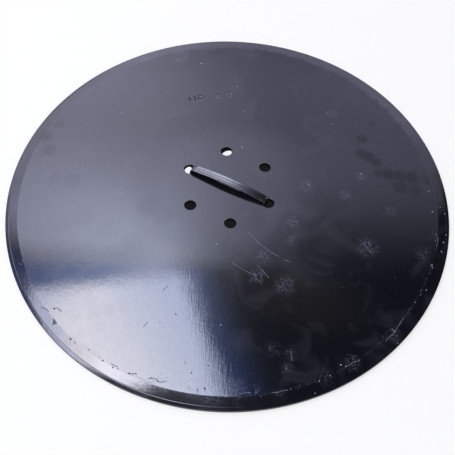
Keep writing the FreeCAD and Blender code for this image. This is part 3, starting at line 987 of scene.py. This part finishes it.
@dataclass
class Wear:
    """Dust, dirt, nicks, scratches, and struck figures drawn in painted shadow and highlight, on the blade's
    upper face, in millimetres.
    """

    blade: Blade
    seed: int = 7
    full_turn: float = 6.28
    # The least and the most that a crumb's length, width and height are of its size.
    crumb_least: Triple = (0.6, 0.6, 0.12)
    crumb_most: Triple = (1.5, 1.2, 0.2)
    # Lines and hairlines lie this far above the paint, so that they aren't lost in it.
    lift: float = 0.05
    line_points: int = 18
    # Scratches wander in bends of 4.2 mm.
    wander_size: float = MM / 0.24
    # Fine dust, per square metre, and its half widths.
    dust_density: float = 1500.0
    dust_sizes: Spot = (0.08, 0.24)
    dust_rings: tuple[float, ...] = (60, 90, 130, 170, 193, 203)
    dust_steps: int = 72
    dust_shape: Triple = (1.0, 0.8, 0.2)
    # Hairlines in the scuffs, per square metre. The real ones are finer than a pixel; these are as wide as
    # they need to be to show. They stand in torn patches of 3.8 mm that close up towards a scuff's core.
    hair_density: float = 380000.0
    hair_sizes: Spot = (0.5, 3.6)
    hair_half: float = 0.02
    hair_bow: float = 0.07
    patch_size: float = MM / 0.26
    patch_band: Spot = (0.6, 0.82)
    core_share: float = 0.32
    scuff_steps: int = 12
    scuff_reach: float = 1.25
    # The struck figures, each a ribbon of painted shadow with a ribbon of painted highlight shifted beside
    # it.
    figure_turn: float = math.radians(40.5)
    figure_pitch: float = 6.0
    figure_size: Spot = (4.3, 6.8)
    figure_line: float = 1.05
    highlight_shift: Spot = (0.352, -0.72)
    highlight_line: float = 0.5

    def random_size(self, growth: Growth) -> Node:
        """A size between the tree's two limits for each point."""
        given = {2: growth.given["Smallest"], 3: growth.given["Largest"], "Seed": growth.given["Seed"]}
        return growth.add(RANDOM, given, data_type="FLOAT")

    def random_turn(self, growth: Growth) -> Node:
        """A turn about the upright axis for each point."""
        given = {0: (0.0, 0.0, 0.0), 1: (0.0, 0.0, self.full_turn), "Seed": growth.given["Seed"]}
        return growth.add(RANDOM, given, data_type="FLOAT_VECTOR")

    def crumbs(self, growth: Growth, points: Any, shape: Any, turn: Any) -> Node:
        """Put a flat crumb of uneven size on each point.

        Args:
            growth: The tree.
            points: Where the crumbs lie.
            shape: How long, wide and high a crumb is for its size.
            turn: How each is turned.

        Returns:
            The crumbs, as instances.
        """
        crumb = growth.add("GeometryNodeMeshIcoSphere", {"Radius": 1.0, "Subdivisions": 1})
        scale = growth.add(VECTOR, {0: shape, "Scale": self.random_size(growth)}, operation="SCALE")
        return growth.add("GeometryNodeInstanceOnPoints", {"Points": points, "Instance": crumb,
                                                           "Rotation": turn, "Scale": scale})

    def flecks(self, name: str, spots: Sequence[Spot], sizes: Spot, finish: LooseSpeck) -> None:
        """Put crumbs of one kind on the blade.

        Args:
            name: The piece's name.
            spots: Their places.
            sizes: The smallest and the largest half width.
            finish: What they are made of.
        """
        piece = new_piece(name, [self.blade.on_top(x, y) for x, y in spots], [])
        growth = Growth("crumbs", Smallest=sizes[0] * MM, Largest=sizes[1] * MM, Seed=self.seed,
                        Material=finish.material())
        shape = growth.add(RANDOM, {0: self.crumb_least, 1: self.crumb_most, "Seed": growth.given["Seed"]},
                           data_type="FLOAT_VECTOR")
        growth.run(piece, self.crumbs(growth, growth.given["Geometry"], shape, self.random_turn(growth)))
        place(piece, Slot.PAINT)

    def dust(self) -> None:
        """Scatter fine dust over the whole upper face."""
        count = self.dust_steps
        points = [self.blade.on_top(radius * x, radius * y) for radius in self.dust_rings
                  for x, y in around(count)]
        faces = []
        for first in range(0, len(points) - count, count):
            for step in range(count):
                beside = first + (step + 1) % count
                faces.append((first + step, beside, beside + count, first + step + count))
        piece = new_piece("dust_flecks", points, faces)
        growth = Growth("dust", Density=self.dust_density, Smallest=self.dust_sizes[0] * MM,
                        Largest=self.dust_sizes[1] * MM, Seed=self.seed, Material=GREY_DUST.material())
        given = growth.given
        spread = growth.add("GeometryNodeDistributePointsOnFaces", {
            "Mesh": given["Geometry"], "Density": given["Density"], "Seed": given["Seed"]})
        growth.run(piece, self.crumbs(growth, spread, self.dust_shape, spread.outputs["Rotation"]))
        place(piece, Slot.PAINT)

    def strokes(self, name: str, lines: Sequence[Sequence[Spot]], width: float, wander: float,
                finish: LooseSpeck) -> None:
        """Lay thin ribbons on the blade's upper face.

        Args:
            name: The piece's name.
            lines: The middle lines.
            width: The ribbons' width.
            wander: How far they stray; a straying ribbon also tapers.
            finish: What they look like.
        """
        points: list[Vector] = []
        edges: list[tuple[int, int]] = []
        for line in lines:
            edges += [(len(points) + number, len(points) + number + 1) for number in range(len(line) - 1)]
            points += [self.blade.on_top(x, y, self.lift) for x, y in line]
        piece = new_piece(name, points, [], edges)
        growth = Growth("scratch_lines", Width=width * MM, Wander=wander * MM, Taper=float(wander > 0),
                        Material=finish.material())
        add, given = growth.add, growth.given
        curve = add("GeometryNodeMeshToCurve", {"Mesh": given["Geometry"]})
        fine = add("GeometryNodeResampleCurve", {"Curve": curve, "Count": self.line_points})
        where = add("GeometryNodeInputPosition")
        noise = add(NOISE, {"Vector": where, "Scale": 1 / self.wander_size}).outputs["Color"]
        centred = add(VECTOR, {0: noise, 1: (0.5, 0.5, 0.5)}, operation="SUBTRACT")
        flat = add(VECTOR, {0: centred, 1: (1.0, 1.0, 0.0)}, operation="MULTIPLY")
        shift = add(VECTOR, {0: flat, "Scale": given["Wander"]}, operation="SCALE")
        bent = add("GeometryNodeSetPosition", {"Geometry": fine, "Offset": shift})
        share = add("GeometryNodeSplineParameter").outputs["Factor"]
        half_turn = add(MATH, {0: share, 1: math.pi}, operation="MULTIPLY")
        bulge = add(MATH, {0: half_turn}, operation="SINE")
        taper = add(MIX, {"Factor": given["Taper"], "A": 1.0, "B": bulge}, data_type="FLOAT")
        tapered = add("GeometryNodeSetCurveRadius", {"Curve": bent, "Radius": taper})
        upright = add("GeometryNodeSetCurveNormal", {"Curve": tapered}, mode="Z_UP")
        half = add(MATH, {0: given["Width"], 1: 0.5}, operation="MULTIPLY")
        left = add("ShaderNodeCombineXYZ", {"X": half})
        right = add(VECTOR, {0: left, "Scale": -1.0}, operation="SCALE")
        bar = add("GeometryNodeCurvePrimitiveLine", {"Start": left, "End": right})
        growth.run(piece, add("GeometryNodeCurveToMesh", {"Curve": upright, "Profile Curve": bar}))
        place(piece, Slot.PAINT)

    def hairlines(self) -> None:
        """Fill the scuffed places with fine short hairlines that bow a little, dense towards each core."""
        points: list[Vector] = []
        faces: list[tuple[int, int, int]] = []
        cores: list[int] = []
        for mark in SCUFFS:
            centre = len(points)
            cores.append(centre)
            points.append(self.blade.on_top(mark.x, mark.y, self.lift))
            reach = self.scuff_reach * mark.reach * mark.strength
            for step, (x, y) in enumerate(around(self.scuff_steps)):
                points.append(self.blade.on_top(mark.x + reach * x, mark.y + reach * y, self.lift))
                faces.append((centre, centre + 1 + step, centre + 1 + (step + 1) % self.scuff_steps))
        piece = new_piece("scuff_hairlines", points, faces)
        core = piece.data.attributes.new("core", "FLOAT", "POINT")
        for number in cores:
            core.data[number].value = 1.0
        growth = Growth("hairlines", Density=self.hair_density, Smallest=self.hair_sizes[0] * MM,
                        Largest=self.hair_sizes[1] * MM, Seed=self.seed,
                        Material=HAIRLINE_ENAMEL.material())
        add, given = growth.add, growth.given
        fine = add("GeometryNodeSubdivideMesh", {"Mesh": given["Geometry"], "Level": 4})
        inward = add("GeometryNodeInputNamedAttribute", {"Name": "core"}, data_type="FLOAT")
        patches = add(NOISE, {"Scale": 1 / self.patch_size, "Detail": 2.0, "Roughness": 0.6})
        worn = add(MATH, {0: inward, 1: self.core_share, 2: patches}, operation="MULTIPLY_ADD")
        torn = add(RANGE, {"Value": worn, "From Min": self.patch_band[0], "From Max": self.patch_band[1]},
                   **SMOOTH)
        dense = add(MATH, {0: torn, 1: given["Density"]}, operation="MULTIPLY")
        spread = add("GeometryNodeDistributePointsOnFaces", {"Mesh": fine, "Density": dense,
                                                             "Seed": given["Seed"]})
        arc = add("GeometryNodeCurveQuadraticBezier", {
            "Resolution": 6, "Start": (-0.45, 0, 0), "Middle": (0, self.hair_bow, 0), "End": (0.45, 0, 0)})
        upright = add("GeometryNodeSetCurveNormal", {"Curve": arc}, mode="Z_UP")
        bar = add("GeometryNodeCurvePrimitiveLine", {"Start": (self.hair_half, 0, 0),
                                                     "End": (-self.hair_half, 0, 0)})
        hair = add("GeometryNodeCurveToMesh", {"Curve": upright, "Profile Curve": bar})
        scatter = add("GeometryNodeInstanceOnPoints", {
            "Points": spread, "Instance": hair, "Rotation": spread.outputs["Rotation"],
            "Scale": self.random_size(growth)})
        growth.run(piece, add("GeometryNodeRotateInstances", {"Instances": scatter,
                                                              "Rotation": self.random_turn(growth)}))
        place(piece, Slot.PAINT)

    def stamp(self) -> None:
        """Draw two plain numbers on the plate, its diameter and its thickness in millimetres, as struck
        figures in painted shadow and painted highlight.
        """
        cosine, sine = math.cos(self.figure_turn), math.sin(self.figure_turn)
        shadow_lines: list[list[Spot]] = []
        for text, x, y in (("410", -86.5, 75.0), ("4.0", -62.5, 93.5)):
            for number, figure in enumerate(text):
                start, (wide, high) = self.figure_pitch * number, self.figure_size
                corners = [(start + wide * across, high * up) for across, up in FIGURES[figure]]
                shadow_lines.append([(x + along * cosine - above * sine, y + along * sine + above * cosine)
                               for along, above in corners])
        highlight_lines = [[(x + self.highlight_shift[0], y + self.highlight_shift[1]) for x, y in line] for line in shadow_lines]
        # The dark ribbons are the painted shadow in each groove, and the pale ones are the painted highlight
        # on its lip.
        self.strokes("stamp_painted_shadow", shadow_lines, self.figure_line, 0.0, STAMPED_SHADE)
        self.strokes("stamp_painted_highlight", highlight_lines, self.highlight_line, 0.0, PAINTED_STAMP_HIGHLIGHT)

    def scratches(self) -> None:
        """Draw the long scratches that show alone, pale on the dark side and dark on the bright side."""
        self.strokes("scratches", [
            ((40, -70), (54, -72), (65, -71)), ((39, -36), (51, -42), (65, -45), (84, -46)),
            ((182, -72), (186, -60), (188, -46)), ((161, -108), (165, -102), (169, -97)),
            ((117, -117), (121, -122)), ((-144, -27), (-138, -29), (-133, -28)),
            ((60, -62), (66, -64), (74, -68)), ((132, 4), (144, -3)), ((190, 44), (192, 34)),
            ((96, -166), (104, -161)), ((118, -154), (128, -146)), ((20, -192), (34, -190)),
        ], 0.3, 1.6, SCORED_ENAMEL)
        self.strokes("dark_scratches", [
            ((3, -155), (4, -149)), ((1, -120), (2, -114)), ((-82, -179), (-78, -178), (-74, -179)),
            ((-73, -175), (-69, -173), (-64, -174)), ((28, -189), (32, -186), (38, -187), (42, -184)),
            ((-4, -192), (2, -192)), ((12, -193), (18, -190)),
        ], 0.5, 1.2, DARK_SCORE)

    def chip(self) -> None:
        """Set the three-cornered chip beside the bevel, down to the dark primer."""
        corners = [(-66.8, -181.6), (-64.4, -187.2), (-61.4, -184.3)]
        points = [self.blade.on_top(x, y, lift) for lift in (0.06, -0.1) for x, y in corners]
        walls = [(step, step + 3, (step + 1) % 3 + 3, (step + 1) % 3) for step in range(3)]
        faces = [(0, 1, 2), (5, 4, 3), *walls]
        piece = new_piece("paint_chip", points, faces)
        face_outwards(piece, smooth=False)
        place(piece, Slot.PAINT, DARK_PRIMER.material())

    def dress(self) -> None:
        """Add all the wear, and the struck figures in painted shadow and highlight."""
        self.flecks("bevel_nicks", [
            (188, 45), (189, 39), (192, 32), (196, 50), (196, 41), (198, 30), (193, 13), (195, 11),
            (195, 5), (197, -12), (193, -15), (194, -19), (177, 67), (178, 69), (188, 71), (182, 76),
            (167, 88), (-124, -154), (-122, -154), (-109, -152), (-109, -160), (-106, -162), (-113, -158),
            (153, -120), (147, -128), (135, -138), (130, -144), (157, -108), (161, -107), (88, -173),
            (98, -168), (112, -160), (192, -28), (190, -36), (188, -47),
        ], (0.25, 0.55), CHIPPED_LACQUER)
        self.flecks("pale_flecks", [
            (58, -124), (20, -60), (45, 131), (55, 119), (-9.5, 47), (29, 32), (65, 37), (104, 74),
            (-63, 182), (-138, 32), (-115, -76), (-188, 44), (-103, 134), (148, -138), (194, 13), (197, 31),
            (196, 50), (191, -69), (-30, 90), (-52, 120),
        ], (0.3, 0.6), PALE_CRUMB)
        self.flecks("dirt_specks", [
            (67, -179), (66, -178), (68, -181), (72, -177), (71, -175), (47, -164), (48, -165), (56, -169),
            (-78, -178), (-71, -175), (-69, -173), (-66, -174), (-11, -193), (-15, -192), (-1, -194),
            (3, -193), (13, -192), (16, -192), (18, -190), (30, -187), (33, -188), (36, -187), (38, -184),
            (65, -158), (21, -133), (23, -128), (13, -145), (-44, -190), (-39, -191), (-26, -191),
            (-56, -191),
        ], (0.35, 0.9), CAKED_DIRT)
        self.dust()
        self.stamp()
        self.scratches()
        self.hairlines()
        self.chip()


@dataclass(frozen=True)
class SoftEdge:
    """One soft edge of a light box, across the sky as the blade mirrors it."""

    across: float
    along: float
    at: float
    width: float
    least: float = 0.0

    def mask(self, add: Adder, sky: Node) -> Node:
        """Rise from the least value to 1 over the edge.

        Args:
            add: Adds a node to the world.
            sky: The direction, flattened to the height of 1.

        Returns:
            The mask.
        """
        run = add(VECTOR, {0: sky, 1: (self.across, self.along, 0.0)}, operation="DOT_PRODUCT")
        return add(RANGE, {"Value": run, "From Min": self.at - self.width / 2,
                           "From Max": self.at + self.width / 2, "To Min": self.least}, **SMOOTH)


@dataclass(frozen=True)
class LightBox:
    """A light box in the studio, bounded by soft edges."""

    radiance: Triple
    edges: tuple[SoftEdge, ...]

    def mask(self, add: Adder, sky: Node) -> Node:
        """Multiply the edges.

        Args:
            add: Adds a node to the world.
            sky: The direction, flattened to the height of 1.

        Returns:
            How much of the box shows in a direction, from 0 to 1.
        """
        total: Any = 1.0
        for edge in self.edges:
            total = add(MATH, {0: edge.mask(add, sky), 1: total}, operation="MULTIPLY")
        return total

    def light(self, add: Adder, sky: Node) -> Node:
        """The box's radiance in a direction, as a colour vector."""
        return add(VECTOR, {0: self.radiance, "Scale": self.mask(add, sky)}, operation="SCALE")


@dataclass(frozen=True)
class Glow:
    """A round glow on the studio wall that fades like a bell curve; one below zero is a dark curtain."""

    radiance: Triple
    at: Spot
    reach: Spot
    lean: float = 0.0

    def light(self, add: Adder, sky: Node) -> Node:
        """Give the glow's radiance in a direction.

        Args:
            add: Adds a node to the world.
            sky: The direction, flattened to the height of 1.

        Returns:
            The radiance as a colour vector.
        """
        centred = add(VECTOR, {0: sky, 1: (*self.at, 1.0)}, operation="SUBTRACT")
        axes = ((1 / self.reach[0], self.lean / self.reach[0], 0.0), (0.0, 1 / self.reach[1], 0.0))
        across, along = (add(VECTOR, {0: centred, 1: axis}, operation="DOT_PRODUCT") for axis in axes)
        away = add("ShaderNodeCombineXYZ", {"X": across, "Y": along})
        spread = add(VECTOR, {0: away, 1: away}, operation="DOT_PRODUCT")
        fading = add(MATH, {0: spread, 1: -1.0}, operation="MULTIPLY")
        bell = add(MATH, {0: fading}, operation="EXPONENT")
        return add(VECTOR, {0: self.radiance, "Scale": bell}, operation="SCALE")


# The far left corner of the room shades the light beside it, the wall at the right ends in a dark doorway,
# and the light fades towards the horizon.
ROOM = (SoftEdge(1.0, 1.0, -0.055, 0.15, 0.45), SoftEdge(1.0, 0.0, -0.66, 0.12, 0.85),
        SoftEdge(-1.0, 1.0, 0.03, 0.08), SoftEdge(0.0, -1.0, -1.38, 0.25, 0.8))
# The sill ends the window's light towards the camera.
SILL = SoftEdge(-0.06, 1.0, 0.103, 0.03)


@dataclass(frozen=True)
class Studio:
    """The pale floor, the light boxes and the camera."""

    turn: float = math.radians(26.289)
    # The outline of the window, which the blade mirrors at the front left.
    window: LightBox = LightBox((1.0, 1.0, 1.0), (
        SoftEdge(-1.0, -0.45, -0.071, 0.078), SoftEdge(-1.0, -0.7, -0.147, 0.05),
        SoftEdge(-0.075, -1.0, -0.374, 0.05), SoftEdge(1.0, 0.0, -0.55, 0.05), SILL))
    # What shows in it: a warm side, a blue side, two bluer edges and a dark curtain.
    panes: tuple[LightBox | Glow, ...] = (
        LightBox((7.88, 7.22, 6.95), (
            SoftEdge(-1.0, -0.8, 0.015, 0.45, 0.16), SoftEdge(1.0, 0.0, -0.4, 0.2, 0.36))),
        LightBox((3.2, 3.92, 6.05), (
            SoftEdge(1.0, 0.8, 0.03, 0.5, 0.42), SoftEdge(1.0, 0.0, -0.425, 0.19, 0.98))),
        LightBox((0.0, 0.12, 0.7), (SoftEdge(-1.0, 0.0, 0.4, 0.12),)),
        LightBox((0.1, 0.25, 0.95), (SoftEdge(0.0, -1.0, -0.15, 0.06),)),
        Glow((-0.6, -0.5, -0.4), (-0.31, 0.255), (0.06, 0.04)))
    # The ceiling, the back wall, the window's bluish reveal and a broad light behind the camera.
    boxes: tuple[LightBox, ...] = (
        LightBox((0.864, 0.926, 1.17), (
            SoftEdge(-1.0, -0.154, -0.05, 0.764), SoftEdge(0.183, 1.0, 0.433, 0.08), *ROOM)),
        LightBox((1.285, 1.252, 1.8), (
            SoftEdge(-0.341, 1.0, 0.641, 0.754), SoftEdge(0.0, -1.0, -0.806, 0.568, 0.405), *ROOM)),
        LightBox((0.05, 0.16, 0.75), (
            SoftEdge(-1.0, -0.586, -0.155, 0.15), SoftEdge(-0.08, -1.0, -0.43, 0.12),
            SoftEdge(1.0, 0.0, -0.5, 0.1, 0.6), SILL)),
        LightBox((1.48, 1.53, 1.76), (
            SoftEdge(0.0, -1.0, 0.3, 0.2), SoftEdge(0.0, 1.0, -1.5, 1.4, 0.25))))
    # Lamps on the far wall and on the ceiling beside the window, and two dark curtains.
    lamps: tuple[Glow, ...] = (
        Glow((1.92, 2.095, 2.62), (-0.289, 0.43), (0.166, 0.253), 0.407),
        Glow((0.84, 0.93, 1.25), (-0.129, 0.57), (0.108, 0.18)),
        Glow((0.95, 0.89, 0.93), (-0.178, 0.438), (0.08, 0.052)),
        Glow((0.1, 0.09, 0.07), (0.16, 0.36), (0.13, 0.06)),
        Glow((-0.28, -0.28, -0.32), (-0.7, 0.78), (0.12, 0.15)),
        Glow((-0.22, -0.18, -0.1), (-0.08, 0.375), (0.035, 0.04)))
    # The window's top frame, which dims what stands behind it to these shares.
    top_frame: LightBox = LightBox((0.6, 0.7, 0.86), (
        SoftEdge(0.13, 1.0, 0.365, 0.03), SoftEdge(-0.217, -1.0, -0.379, 0.035),
        SoftEdge(-1.0, 0.0, 0.28, 0.22)))
    # Light that the ground throws back up at the underside.
    bounce: Triple = (0.7, 0.72, 0.78)
    # The lowest height that a direction is divided by, so that the flattened sky stays finite.
    lowest: float = 0.04
    # The floor: its half width, the radius that lies in the blade's shade, which is painted dark there, and
    # two painted pools of light that show through two of the holes, as places and reaches in millimetres.
    floor_half: float = 12.0
    shaded_radius: float = 196 * MM
    light_pools: tuple[Triple, ...] = ((-18.6, 38.6, 8.4), (-49.0, 2.5, 8.0))
    # Outside, this share of what the camera sees is even white. The rest is the lit floor with this tint, a
    # little over white, which makes up for the cool light and keeps the object's shadow.
    even_share: float = 0.6
    lit_tint: Colour = (1.125, 1.09, 0.91, 1.0)
    sweep_reach: float = 0.23
    # The camera, in the blade's own turn: tilt, roll, place in millimetres, and lens and middle in pixels.
    tilt: float = math.radians(58.505)
    roll: float = math.radians(1.594)
    eye: Triple = (0.40, -324.44, 460.92)
    lens_pixels: float = 595.2
    view_middle: Spot = (227.58, 231.03)
    sensor: float = 36.0

    def add_up(self, add: Adder, sky: Node, parts: Sequence[LightBox | Glow]) -> Node:
        """Add up the light of several parts of the studio.

        Args:
            add: Adds a node to the world.
            sky: The direction, flattened to the height of 1.
            parts: The light boxes and glows.

        Returns:
            Their radiance as a colour vector.
        """
        total: Any = (0.0, 0.0, 0.0)
        for part in parts:
            total = add(VECTOR, {0: total, 1: part.light(add, sky)}, operation="ADD")
        return total

    def world(self) -> None:
        """Light the object from boxes drawn on the world, and show plain white behind it."""
        world = bpy.data.worlds.new("studio")
        bpy.context.scene.world = world
        world.use_nodes = True
        world.node_tree.nodes.clear()
        add = partial(add_node, world.node_tree)
        way = add("ShaderNodeTexCoord").outputs["Generated"]
        turned = add("ShaderNodeVectorRotate", {"Vector": way, "Angle": -self.turn}, rotation_type="Z_AXIS")
        level = add("ShaderNodeSeparateXYZ", {0: turned}).outputs["Z"]
        up = add(MATH, {0: level, 1: self.lowest}, operation="MAXIMUM")
        inverse = add(MATH, {0: 1.0, 1: up}, operation="DIVIDE")
        sky = add(VECTOR, {0: turned, "Scale": inverse}, operation="SCALE")
        room = self.add_up(add, sky, (*self.boxes, *self.lamps))
        dimmed = add(MIX, {"Factor": self.top_frame.mask(add, sky), "A": (1.0, 1.0, 1.0),
                           "B": self.top_frame.radiance}, data_type="VECTOR")
        shaded = add(VECTOR, {0: room, 1: dimmed}, operation="MULTIPLY")
        lit = add(MIX, {"Factor": self.window.mask(add, sky), "A": shaded,
                        "B": self.add_up(add, sky, self.panes)}, data_type="VECTOR")
        below = add(MATH, {0: level, 1: 0.0}, operation="LESS_THAN")
        around = add(MIX, {"Factor": below, "A": lit, "B": self.bounce}, data_type="VECTOR")
        light = add("ShaderNodeBackground", {"Color": around})
        plain = add("ShaderNodeBackground", {"Color": hex_colour("#fcfcfc")})
        seen = add("ShaderNodeLightPath").outputs["Is Camera Ray"]
        add("ShaderNodeOutputWorld", {"Surface": add("ShaderNodeMixShader", {0: seen, 1: light, 2: plain})})

    def floor(self) -> None:
        """Lay a pale matt floor, with painted shade under the blade and two painted pools of light in it,
        which doesn't show from below.
        """
        half = self.floor_half
        piece = new_piece("floor", [(-half, -half, 0), (half, -half, 0), (half, half, 0), (-half, half, 0)],
                          [(0, 1, 2, 3)])
        material, add = new_material("pale_floor")

        def blend(factor: Node | Socket, first: Any, second: Any) -> Node:
            """Mix two colours, each a hex colour, a linear one or a node."""
            ends = (hex_colour(shade) if isinstance(shade, str) else shade for shade in (first, second))
            return add(MIX, {"Factor": factor, **dict(zip("AB", ends))}, data_type="RGBA")

        spot = add("ShaderNodeTexCoord").outputs["Object"]
        # Two painted pools of light on the floor under the holes, as if lit through them, shown to the
        # camera only.
        light_pool: Any = 0.0
        for x, y, reach in self.light_pools:
            away = add(VECTOR, {0: spot, 1: (x * MM, y * MM, 0.0)}, operation="DISTANCE")
            inside = add(MATH, {0: away, 1: reach * MM}, operation="LESS_THAN")
            light_pool = add(MATH, {0: light_pool, 1: inside}, operation="ADD")
        middle = add(VECTOR, {0: spot}, operation="LENGTH")
        outside = add(MATH, {0: middle, 1: self.shaded_radius}, operation="GREATER_THAN")
        path = add("ShaderNodeLightPath").outputs
        seen = blend(path["Is Camera Ray"], "#b4b4b4", self.lit_tint)
        # Under the blade, the floor's colour for every ray is painted shade, near black.
        matt = add("ShaderNodeBsdfDiffuse", {"Color": blend(outside, "#2a2a2c", seen)})
        across = add(VECTOR, {0: spot, 1: (math.cos(self.turn), math.sin(self.turn), 0.0)},
                     operation="DOT_PRODUCT")
        sweep = add(RANGE, {"Value": across, "From Min": -self.sweep_reach, "From Max": self.sweep_reach})
        # Under the blade, the camera sees painted shade, near black, with the two painted pools of light in
        # it.
        under, backdrop = blend(light_pool, "#1b1b1d", "#f4f5fa"), blend(sweep, "#feffff", "#f5f5f7")
        even = add("ShaderNodeEmission", {"Color": blend(outside, under, backdrop)})
        share = add(RANGE, {"Value": outside, "To Min": 1.0, "To Max": self.even_share})
        shown = add(MATH, {0: path["Is Camera Ray"], 1: share}, operation="MULTIPLY")
        mixed = add("ShaderNodeMixShader", {0: shown, 1: matt, 2: even})
        behind = add("ShaderNodeNewGeometry").outputs["Backfacing"]
        gone = add(MATH, {0: behind, 1: path["Transparent Depth"]}, operation="ADD", use_clamp=True)
        sided = add("ShaderNodeMixShader", {0: gone, 1: mixed, 2: add("ShaderNodeBsdfTransparent")})
        add("ShaderNodeOutputMaterial", {"Surface": sided})
        piece.data.materials.append(material)

    def camera(self) -> None:
        """Look down at the blade as the photograph does."""
        right = Vector((1, 0, 0))
        up = Vector((0, math.sin(self.tilt), math.cos(self.tilt)))
        back = Vector((0, -math.cos(self.tilt), math.sin(self.tilt)))
        side = right * math.cos(self.roll) + up * math.sin(self.roll)
        head = up * math.cos(self.roll) - right * math.sin(self.roll)
        pose = Matrix((side, head, back)).transposed().to_4x4()
        pose.translation = Vector(self.eye) * MM
        data = bpy.data.cameras.new("camera")
        data.sensor_width = self.sensor
        data.lens = self.sensor * self.lens_pixels / FRAME_PIXELS
        data.shift_x = (FRAME_PIXELS / 2 - self.view_middle[0]) / FRAME_PIXELS
        data.shift_y = (self.view_middle[1] - FRAME_PIXELS / 2) / FRAME_PIXELS
        data.clip_start = 0.01
        data.clip_end = 100.0
        camera = bpy.data.objects.new("camera", data)
        camera.matrix_world = Matrix.Rotation(self.turn, 4, "Z") @ pose
        bpy.context.scene.collection.objects.link(camera)
        bpy.context.scene.camera = camera

    def set_up(self) -> None:
        """Build the studio."""
        self.world()
        self.floor()
        self.camera()
        bpy.context.scene.view_settings.view_transform = "Standard"


def main() -> None:
    """Build every piece in order."""
    logging.basicConfig(level=logging.INFO, format="%(message)s")
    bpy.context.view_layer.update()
    Studio().set_up()
    blade = Blade()
    blade.dress()
    CableTie().dress()
    Wear(blade).dress()


if __name__ == "__main__":
    main()
